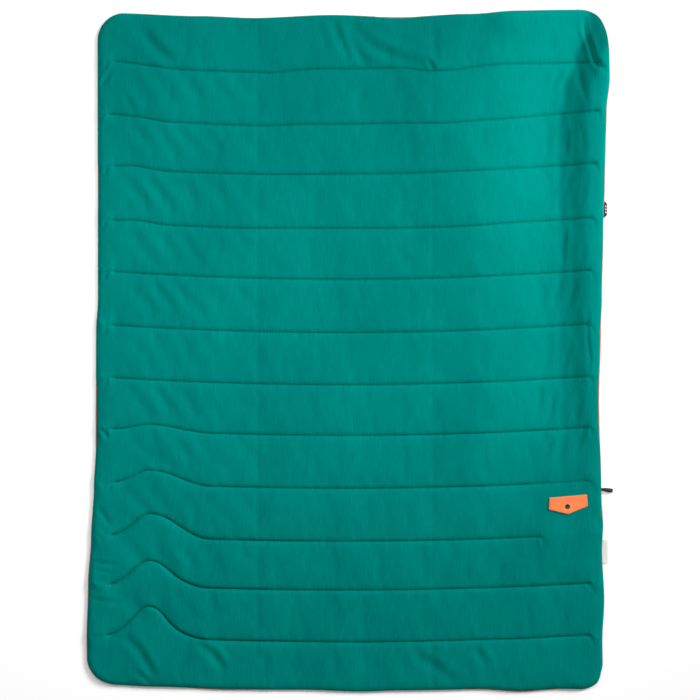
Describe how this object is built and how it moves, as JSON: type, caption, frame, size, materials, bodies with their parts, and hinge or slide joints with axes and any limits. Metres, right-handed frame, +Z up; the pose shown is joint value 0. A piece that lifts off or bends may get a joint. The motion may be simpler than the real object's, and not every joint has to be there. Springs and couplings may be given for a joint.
{
  "type": "camp blanket",
  "caption": "Rectangular quilted camp blanket with a brushed face, contrast edge piping, a flapped pocket with a press stud, a hang loop and labels in the side seam.",
  "frame": {"origin": "middle of the blanket, on the surface that it lies on", "axes": "+X across the blanket towards the side with the hang loop, +Y along it towards the end away from the pocket, +Z up out of the brushed face"},
  "size_m": [1.4062, 1.829, 0.0197],
  "materials": {
    "knit_face": "brushed green knit, soft and dull",
    "woven_back": "plain green woven cloth with a faint sheen",
    "batting": "lofty white fibre",
    "piping": "orange woven strip",
    "quilting_thread": "green spun thread",
    "pocket_lining": "thin green lining",
    "flap_cloth": "orange woven cloth",
    "orange_thread": "orange spun thread",
    "black_thread": "black spun thread",
    "snap_plastic": "black moulded plastic",
    "webbing": "black woven webbing",
    "woven_label": "black woven label with plain pale bars",
    "care_label": "white satin tape"
  },
  "bodies": {
    "centre_third": {"face_panel_centre": "knit_face", "batting_centre": "batting", "back_panel_centre": "woven_back", "edge_piping_centre": "piping", "quilting_thread_centre": "quilting_thread"},
    "left_third": {"face_panel_left": "knit_face", "batting_left": "batting", "back_panel_left": "woven_back", "edge_piping_left": "piping", "quilting_thread_left": "quilting_thread"},
    "right_third": {"face_panel_right": "knit_face", "batting_right": "batting", "back_panel_right": "woven_back", "edge_piping_right": "piping", "quilting_thread_right": "quilting_thread", "pocket_bag": "pocket_lining", "pocket_mouth_facing": "pocket_lining", "pocket_topstitch": "quilting_thread", "pocket_bartacks": "black_thread", "snap_stud": "snap_plastic", "snap_post": "snap_plastic"},
    "pocket_flap": {"flap_lining": "flap_cloth", "flap_outer": "flap_cloth", "flap_topstitch": "orange_thread", "snap_cap": "snap_plastic", "snap_socket": "snap_plastic"},
    "hang_loop": {"hang_loop": "webbing", "hang_loop_bartack": "black_thread"},
    "side_label": {"side_label": "woven_label"},
    "care_label": {"care_label": "care_label"}
  },
  "joints": [
    {"name": "left_fold", "type": "hinge", "parent": "centre_third", "child": "left_third", "pos_m": [-0.24, 0, 0.018], "axis": [0, 1, 0], "range_deg": [0, 179.5]},
    {"name": "right_fold", "type": "hinge", "parent": "centre_third", "child": "right_third", "pos_m": [0.23, 0, 0.033], "axis": [0, -1, 0], "range_deg": [0, 179.5]},
    {"name": "flap_lift", "type": "hinge", "parent": "right_third", "child": "pocket_flap", "pos_m": [0.5963, -0.39203, 0.0173], "axis": [-0.9962, -0.0872, 0], "range_deg": [0, 175]},
    {"name": "hang_loop_swing", "type": "hinge", "parent": "right_third", "child": "hang_loop", "pos_m": [0.6878, -0.373, 0.004], "axis": [0, -1, 0], "range_deg": [-45, 45]},
    {"name": "side_label_flex", "type": "hinge", "parent": "right_third", "child": "side_label", "pos_m": [0.6868, 0.385, 0.0025], "axis": [0, -1, 0], "range_deg": [-60, 60]},
    {"name": "care_label_flex", "type": "hinge", "parent": "right_third", "child": "care_label", "pos_m": [0.6868, -0.542, 0.0025], "axis": [0, -1, 0], "range_deg": [-60, 60]}
  ]
}
